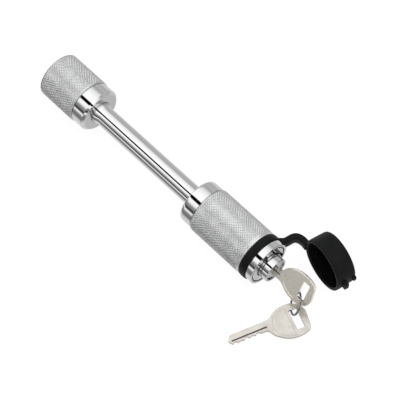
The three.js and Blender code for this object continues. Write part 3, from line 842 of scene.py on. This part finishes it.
KEY_GROOVE = trace(
    (-31, 0.55), (-4, 0.55), (-3, 1.15, -4, 1.75), (-31, 1.75), (-31.6, 1.15, -31, 0.6),
)

# %% Key


def pocket(builder, outline, face, depth, rise, ease, painted_shade=False):
    """A flat-bottomed pocket sunk into a face, its floor marked for painted shade if wanted.
    Returns the loop at its brink."""
    section = rim(ease, face, rise, 1)[::-1] + [(0, face - rise * depth)]
    grid = wall(builder, outline, section)
    builder.lid(grid[-1])
    if painted_shade:
        builder.painted_shade += grid[-1].tolist()
    return grid[0]


def key(name, material, body, node, place):
    """A key drawn flat in its own plane, x toward the bow, and moved by place."""
    top = KEY_THICKNESS / 2
    blank = Builder()
    edge = wall(blank, KEY_OUTLINE, rim(0.22, -top, -1)[::-1] + rim(0.22, top, 1))
    slot = wall(blank, KEY_SLOT, rim(0.25, -top, -1, 1)[::-1] + rim(0.25, top, 1, 1))
    # The grooves' floors are marked for painted shade, which the finish turns nearly black.
    upper_groove = pocket(blank, KEY_GROOVE, top, 0.6, 1, 0.08, painted_shade=True)
    lower_groove = pocket(blank, KEY_GROOVE, -top, 0.6, -1, 0.08, painted_shade=True)
    upper_panel = pocket(blank, KEY_PANEL, top, 0.3, 1, 0.28)
    lower_panel = pocket(blank, KEY_PANEL, -top, 0.3, -1, 0.28)
    blank.lid(edge[0], slot[0], lower_groove, lower_panel)
    blank.lid(edge[-1], slot[-1], upper_groove, upper_panel)
    return blank.finish(name, material, body, "nickel_key", [node], place)


KEY_SHOULDER_X = 197.0
SPARE_X, SPARE_Y = 211.4, -26.2
SPARE_ANGLE, SPARE_LIFT = math.radians(69.5), math.radians(2.4)
FLOOR_Z = -GRIP_R * math.cos(math.pi / 48)

working_place = (
    Matrix.Rotation(-KEY_TILT, 4, "X")
    @ Matrix.Translation((KEY_SHOULDER_X, 0, 0))
    @ Matrix.Rotation(math.pi / 2, 4, "X")
)
spare_place = (
    Matrix.Translation((SPARE_X, SPARE_Y, 0))
    @ Matrix.Rotation(SPARE_ANGLE, 4, "Z")
    @ Matrix.Translation((-BLADE_LENGTH, 0, FLOOR_Z))
    @ Matrix.Rotation(-SPARE_LIFT, 4, "Y")
    @ Matrix.Translation((BLADE_LENGTH, 0, KEY_THICKNESS / 2))
    @ Matrix.Rotation(math.pi, 4, "X")
)
# Both keys are one metal on the real lock. Their base colours differ only to set each one's
# brightness under this tent, and under other light they would look unlike each other.
# The near-black colour that paints shade onto the keys' marked groove floors.
PAINTED_SHADE = (0.06, 0.055, 0.05)
NICKEL = key_nickel("key_nickel", (0.93, 0.875, 0.785), PAINTED_SHADE, 0.0)
SPARE_NICKEL = key_nickel("spare_nickel", (0.5, 0.477, 0.441), PAINTED_SHADE, -SPARE_ANGLE)
key("key_in_plug", NICKEL, "key", "working_key", working_place)
key("key_on_table", SPARE_NICKEL, "spare", "spare_key", spare_place)

# %% [markdown]
# ## The split ring
# A key ring is a flat wire wound twice round. Its two turns lie on each other, and the wire steps
# from one to the other in a short jog beside its ends, so a key can be fed on. The path is a
# circle whose height above the ring's plane drops smoothly at the jog.

# %% Split ring
RING_R = 8.7
RING_TURNS, RING_START = 1.93, 0.6
JOG_AT, JOG_TURNS = 0.94, 0.055
TURNS_APART = 0.76
WIRE_ACROSS, WIRE_UP = 0.7, 0.37


def carried(builder, path, sides, ups, section):
    """A section carried along an open path: P + a S + b U for each section point (a, b), with S
    and U the sideways and upward directions at P. Both ends are closed by a point."""
    points = path[:, None] + section[:, :1] * sides[:, None] + section[:, 1:] * ups[:, None]
    grid = builder.add(points)
    builder.skin(grid)
    builder.fan(grid[0], path[0])
    builder.fan(grid[-1], path[-1])


def ring_frame():
    """The ring's plane: it holds the line between the two keys' slots and leans to one side."""
    upper, lower = Vector((215, -0.9, -2)), Vector((215.9, -9.4, -16.4))
    along = (lower - upper).normalized()
    aside = Vector((-0.8, 0.5, -0.5)).normalized()
    aside = (aside - aside.dot(along) * along).normalized()
    reach = (lower - upper).length / 2
    middle = (upper + lower) / 2 + aside * math.sqrt(RING_R**2 - reach**2)
    normal = along.cross(aside)
    return Matrix((along, aside, normal)).transposed().to_4x4(), middle


RING_TURN, RING_MIDDLE = ring_frame()
turns = np.linspace(0, RING_TURNS, 260)
jog = np.clip((turns - JOG_AT) / JOG_TURNS, 0, 1)
height = TURNS_APART / 2 - TURNS_APART * jog * jog * (3 - 2 * jog)
angle = 2 * math.pi * turns + RING_START
out = np.stack([np.cos(angle), np.sin(angle), np.zeros_like(angle)], 1)
up = np.broadcast_to([0.0, 0.0, 1.0], out.shape)
around = np.arange(12) * math.pi / 6
oval = np.stack([WIRE_ACROSS * np.cos(around), WIRE_UP * np.sin(around)], 1)
split_ring = Builder()
carried(split_ring, RING_R * out + height[:, None] * up, out, up, oval)
split_ring.finish("split_ring", WIRE, "ring", "wire", ["key_ring"],
                  Matrix.Translation(RING_MIDDLE) @ RING_TURN)

# %% [markdown]
# ## Rubber band, strap and dust cap
# One rubber moulding keeps dirt out of the lock: a band round the barrel's nose, a short strap,
# and a cup that snaps over the flange. Here the cup hangs open beside the lock. The strap is made
# as one fixed piece, attached to neither the barrel nor the cap.

# %% Band
band = Builder()
turned_ring(band, eased([
    (BAND_X + 0.3, NOSE_R + 0.3), (BAND_X + 0.3, 18.75, 0.5), (BAND_X + 2, 19.05, 0.6),
    (BAND_X + 4.9, 19.05, 0.6), (BAND_X + 6.6, 18.75, 0.5), (BAND_X + 6.6, NOSE_R + 0.3),
], closed=True), 160)
band.finish("rubber_band", RUBBER, "barrel", "rubber", ["cap_band"])

# %% Strap
STRAP_HEIGHT, STRAP_HALF = 8.0, 2.5
STRAP_ROUTE = np.array([
    (172, 15.5), (173.6, 17.6), (176.6, 20.8), (177.6, 24), (178.3, 27.4), (179.8, 29.9),
    (182.4, 31.2), (186, 31.6), (190.5, 30.9), (194, 29.8),
])


def smooth_route(points, steps):
    """A smooth line through the points but for the first and last: between P1 and P2 it is
    P1 + s(P2-P0)/2 + s^2(P0 - 5/2 P1 + 2 P2 - P3/2) + s^3(-P0 + 3 P1 - 3 P2 + P3)/2."""
    p0, p1, p2, p3 = (points[i:len(points) - 3 + i, None] for i in range(4))
    s = (np.arange(steps) / steps)[None, :, None]
    line = (p1 + s * (p2 - p0) / 2 + s**2 * (p0 - 2.5 * p1 + 2 * p2 - 0.5 * p3)
            + s**3 * (3 * (p1 - p2) + p3 - p0) / 2)
    return np.concatenate([line.reshape(-1, points.shape[1]), points[-2:-1]])


route = smooth_route(STRAP_ROUTE, 6)
path = np.column_stack([route, np.zeros(len(route))])
way = np.gradient(path, axis=0)
way /= np.linalg.norm(way, axis=1)[:, None]
across = np.column_stack([-way[:, 1], way[:, 0], np.zeros(len(way))])
sweep = np.arange(32) * math.pi / 16
squircle = np.stack([
    np.sign(np.cos(sweep)) * np.abs(np.cos(sweep)) ** 0.6 * STRAP_HALF,
    np.sign(np.sin(sweep)) * np.abs(np.sin(sweep)) ** 0.3 * STRAP_HEIGHT / 2,
], 1)
strap = Builder()
carried(strap, path, across, np.broadcast_to([0.0, 0.0, 1.0], path.shape), squircle)
strap_piece = strap.finish("strap", RUBBER, None, "rubber", [])
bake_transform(strap_piece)

# %% Dust cap
CAP_R, CAP_BORE_R, CAP_DEPTH = 20.6, 18.3, 16.0
CAP_X, CAP_Y, CAP_TURN = 209.2, 26.1, math.radians(79)
CAP_PLACE = (
    Matrix.Translation((CAP_X, CAP_Y, CAP_R - GRIP_R)) @ Matrix.Rotation(CAP_TURN, 4, "Z")
)
# For each lug: reach beyond the cup, half width, corner ease, and where it starts and ends.
LUGS = ((3.4, 3.4, 1.6, 3.8, 7.4), (1.3, 2.2, 0.8, 13.0, 15.4))
LUG_ROOT = -18.6

cap = Builder()
turned_bar(cap, eased([
    (CAP_DEPTH - 2.4, 0), (CAP_DEPTH - 2.4, CAP_BORE_R, 1.5), (2.6, CAP_BORE_R, 0.3),
    (2.0, CAP_BORE_R - 0.3, 0.3), (1.2, CAP_BORE_R - 0.3, 0.3), (0, CAP_BORE_R + 0.3, 0.5),
    (0, CAP_R - 0.2, 0.6), (3, CAP_R, 0.5), (CAP_DEPTH, CAP_R - 0.4, 1.8), (CAP_DEPTH, 0),
]), 160)
cap.finish("dust_cap_cup", RUBBER, "cap", "rubber", ["dust_cap"], CAP_PLACE)

lugs = Builder()
for reach, half, ease, low, high in LUGS:
    tip = -CAP_R - reach
    outline = trace((LUG_ROOT, -half), (tip + ease, -half), (tip, -half, tip, ease - half),
                    (tip, half - ease), (tip, half, tip + ease, half), (LUG_ROOT, half))
    slab(lugs, outline[::-1], low, high, 0.5)
lugs.finish("cap_lugs", RUBBER, "cap", "rubber", ["dust_cap"], CAP_PLACE @ STAND)

# %% [markdown]
# ## Inside the barrel
# The mechanism is seen only when pieces are pulled out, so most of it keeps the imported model's
# shapes and gets a finish of its own. The two balls are made again, smooth, as half circles swung
# round the axis and moved to their places.

# %% Balls and inner finishes
half_circle = arc(3, 180, 0, 33)
for side, name in ((1, "upper"), (-1, "lower")):
    ball = Builder()
    turned_bar(ball, half_circle.round(9), 48)
    ball.finish(f"ball_{name}", STEEL, f"{name}_ball", "hardened_steel", [f"locking_ball_{name}"],
                Matrix.Translation((BALL_X, 0, side * BALL_OUT)))

INNER_FINISHES = {
    "ball_cage": STEEL, "retaining_pin": STEEL, "tail_clip": STEEL, "drive_cam": STEEL,
    "key_plug": STEEL, "bore_seal": RUBBER, "wafer_spring": WIRE, "wafer": BRASS,
}
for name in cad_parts:
    kind = next((kind for kind in INNER_FINISHES if name.startswith(kind)), None)
    if kind:
        mesh = bpy.data.objects[name].data
        mesh.materials.clear()
        mesh.materials.append(INNER_FINISHES[kind])
        print("finished", name)

# %% [markdown]
# ## Update
# The view layer is updated once more, so that every piece's place is current.

# %% Update
bpy.context.view_layer.update()
